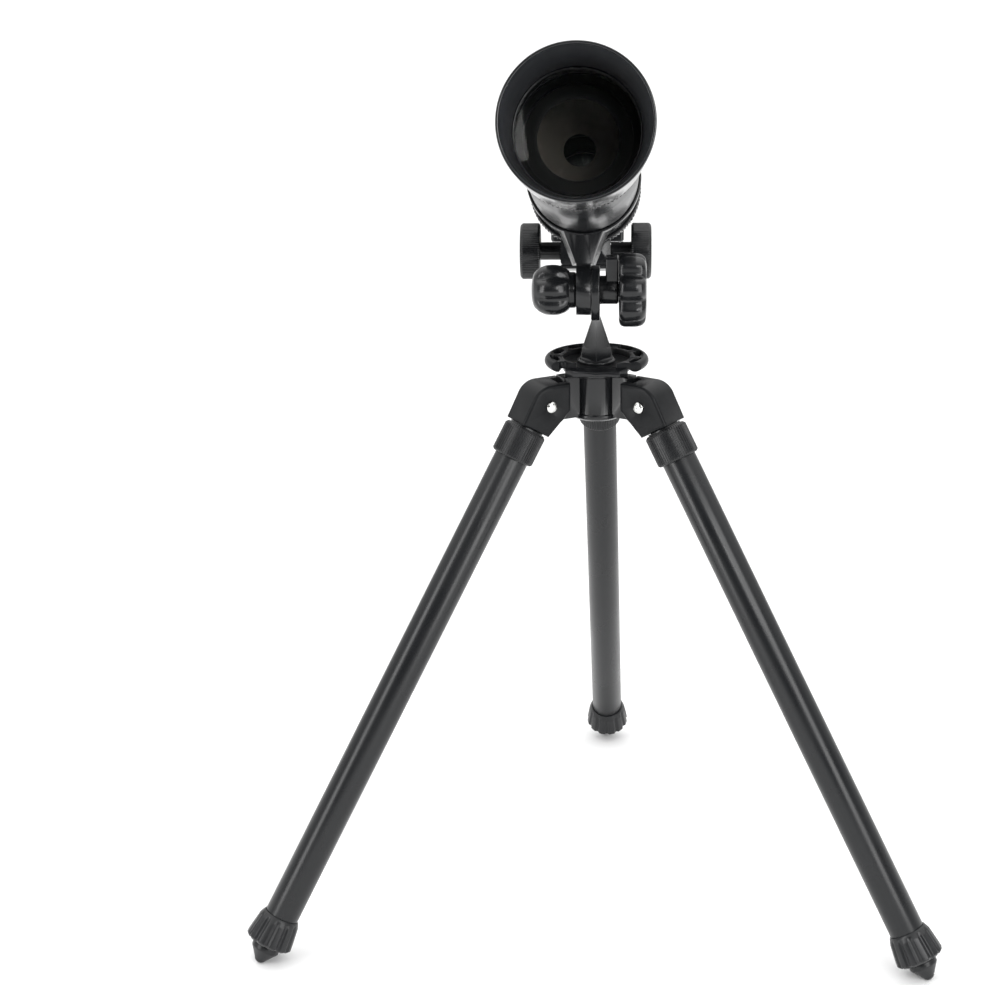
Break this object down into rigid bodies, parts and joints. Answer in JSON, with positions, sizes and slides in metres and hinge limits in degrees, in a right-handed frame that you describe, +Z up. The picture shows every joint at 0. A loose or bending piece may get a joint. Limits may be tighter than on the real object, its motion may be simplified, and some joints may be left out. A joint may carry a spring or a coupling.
{
  "type": "spotting scope",
  "caption": "Small refracting spotting scope with flared hood, tilt bracket and star diagonal on a folding three-legged table tripod.",
  "frame": {"origin": "under the middle of the whole object, on the surface that the feet stand on", "axes": "+Z up; the tube points along -Y with its front end 16 degrees up; +X to the right seen from the front, towards the clamp knob"},
  "size_m": [0.3202, 0.4144, 0.4377],
  "materials": {
    "gloss_black": "glossy moulded black plastic",
    "satin_black": "satin moulded black plastic",
    "tube_black": "gloss black painted tube",
    "leg_black": "satin black anodised aluminium",
    "steel": "bright steel",
    "chrome": "plated",
    "brass": "plain brass",
    "lens_glass": "coated optical glass",
    "mirror": "front-surface mirror",
    "rubber": "soft black rubber"
  },
  "bodies": {
    "base": {"tray_disc": "gloss_black", "hub_body": "satin_black", "hinge_pins": "steel"},
    "leg_left": {"leg_bracket_left": "satin_black", "leg_collar_left": "satin_black", "leg_tube_left": "leg_black"},
    "twist_ring_left": {"lock_ring_left": "satin_black"},
    "foot_left": {"inner_leg_left": "leg_black", "foot_tip_left": "satin_black"},
    "leg_right": {"leg_bracket_right": "satin_black", "leg_collar_right": "satin_black", "leg_tube_right": "leg_black"},
    "twist_ring_right": {"lock_ring_right": "satin_black"},
    "foot_right": {"inner_leg_right": "leg_black", "foot_tip_right": "satin_black"},
    "leg_back": {"leg_bracket_back": "satin_black", "leg_collar_back": "satin_black", "leg_tube_back": "leg_black"},
    "twist_ring_back": {"lock_ring_back": "satin_black"},
    "foot_back": {"inner_leg_back": "leg_black", "foot_tip_back": "satin_black"},
    "head": {"head_post": "satin_black", "azimuth_bolt": "steel", "azimuth_nut": "steel", "clamp_spacer": "gloss_black"},
    "tilt_screw": {"tilt_bolt": "steel", "ball_knob": "gloss_black"},
    "clamp": {"clamp_knob": "gloss_black"},
    "telescope": {"dew_shield": "gloss_black", "objective_cell": "gloss_black", "flint_lens": "lens_glass", "crown_lens": "lens_glass", "lens_spacer": "satin_black", "lens_retainer": "gloss_black", "aperture_stop": "satin_black", "glare_baffle": "satin_black", "main_tube": "tube_black", "tube_bracket": "gloss_black", "tube_end_ring": "gloss_black", "focuser_housing": "gloss_black", "pinion_cover": "gloss_black", "cover_screws": "steel"},
    "focus_lock": {"focus_lock_screw": "gloss_black"},
    "focus_drive": {"pinion_shaft": "steel", "focus_knob_left": "gloss_black", "focus_knob_right": "gloss_black"},
    "drawtube": {"drawtube": "chrome", "focus_rack": "brass"},
    "drawtube_clamp": {"drawtube_screw": "gloss_black"},
    "diagonal": {"diagonal_housing": "gloss_black", "diagonal_nosepiece": "chrome", "diagonal_mirror": "mirror", "diagonal_cover": "gloss_black", "diagonal_cover_screws": "steel"},
    "eyepiece_clamp": {"diagonal_screw": "gloss_black"},
    "eyepiece": {"eyepiece_body": "gloss_black", "field_lens": "lens_glass", "eye_lens": "lens_glass", "eyecup": "rubber"}
  },
  "joints": [
    {"name": "azimuth", "type": "hinge", "parent": "base", "child": "head", "pos_m": [0.00222, -0.00474, 0.26795], "axis": [0, 0, 1], "continuous": true},
    {"name": "altitude", "type": "hinge", "parent": "head", "child": "telescope", "pos_m": [0.00222, -0.00474, 0.30095], "axis": [-1, 0, 0], "range_deg": [-41, 34]},
    {"name": "tilt_bolt_turn", "type": "hinge", "parent": "head", "child": "tilt_screw", "pos_m": [0.00222, -0.00474, 0.30095], "axis": [1, 0, 0], "range_deg": [-180, 180]},
    {"name": "clamp_turn", "type": "hinge", "parent": "head", "child": "clamp", "pos_m": [0.00222, -0.00474, 0.30095], "axis": [1, 0, 0], "range_deg": [0, 360]},
    {"name": "focus_draw", "type": "slide", "parent": "telescope", "child": "drawtube", "axis": [0, 0.9613, -0.2756], "range_m": [-0.02, 0.025]},
    {"name": "focus_turn", "type": "hinge", "parent": "telescope", "child": "focus_drive", "pos_m": [-0.00368, 0.08138, 0.30018], "axis": [1, 0, 0], "range_deg": [-240, 192]},
    {"name": "focus_lock_turn", "type": "hinge", "parent": "telescope", "child": "focus_lock", "pos_m": [-0.00368, 0.1092, 0.3464], "axis": [0, 0.2756, 0.9613], "range_deg": [0, 360]},
    {"name": "drawtube_screw_turn", "type": "hinge", "parent": "drawtube", "child": "drawtube_clamp", "pos_m": [-0.00368, 0.15186, 0.33011], "axis": [0, 0.2756, 0.9613], "range_deg": [0, 360]},
    {"name": "diagonal_turn", "type": "hinge", "parent": "drawtube", "child": "diagonal", "pos_m": [-0.00368, 0.16888, 0.30422], "axis": [0, 0.9613, -0.2756], "range_deg": [-90, 90]},
    {"name": "eyepiece_screw_turn", "type": "hinge", "parent": "diagonal", "child": "eyepiece_clamp", "pos_m": [-0.00368, 0.19772, 0.33548], "axis": [0, 0.9613, -0.2756], "range_deg": [0, 360]},
    {"name": "eyepiece_slide", "type": "slide", "parent": "diagonal", "child": "eyepiece", "axis": [0, 0.2756, 0.9613], "range_m": [0, 0.019]},
    {"name": "fold_left", "type": "hinge", "parent": "base", "child": "leg_left", "pos_m": [-0.02234, -0.01808, 0.25127], "axis": [0.4772, -0.8788, 0], "range_deg": [0, 30]},
    {"name": "fold_right", "type": "hinge", "parent": "base", "child": "leg_right", "pos_m": [0.02605, -0.01935, 0.25127], "axis": [0.5225, 0.8526, 0], "range_deg": [0, 30]},
    {"name": "fold_back", "type": "hinge", "parent": "base", "child": "leg_back", "pos_m": [0.00295, 0.02319, 0.25127], "axis": [-0.9997, 0.0262, 0], "range_deg": [0, 30]},
    {"name": "twist_left", "type": "hinge", "parent": "leg_left", "child": "twist_ring_left", "pos_m": [-0.14409, -0.08418, 0.02173], "axis": [-0.4493, -0.244, -0.8594], "range_deg": [0, 90]},
    {"name": "extend_left", "type": "slide", "parent": "leg_left", "child": "foot_left", "axis": [-0.4493, -0.244, -0.8594], "range_m": [0, 0.085]},
    {"name": "twist_right", "type": "hinge", "parent": "leg_right", "child": "twist_ring_right", "pos_m": [0.14417, -0.09173, 0.02173], "axis": [0.4359, -0.2671, -0.8594], "range_deg": [0, 90]},
    {"name": "extend_right", "type": "slide", "parent": "leg_right", "child": "foot_right", "axis": [0.4359, -0.2671, -0.8594], "range_m": [0, 0.085]},
    {"name": "twist_back", "type": "hinge", "parent": "leg_back", "child": "twist_ring_back", "pos_m": [0.00658, 0.16168, 0.02173], "axis": [0.0134, 0.5111, -0.8594], "range_deg": [0, 90]},
    {"name": "extend_back", "type": "slide", "parent": "leg_back", "child": "foot_back", "axis": [0.0134, 0.5111, -0.8594], "range_m": [0, 0.085]}
  ],
  "couplings": [
    {"joint": "focus_turn", "follows": "focus_draw", "rad_per_m": -166.67}
  ]
}
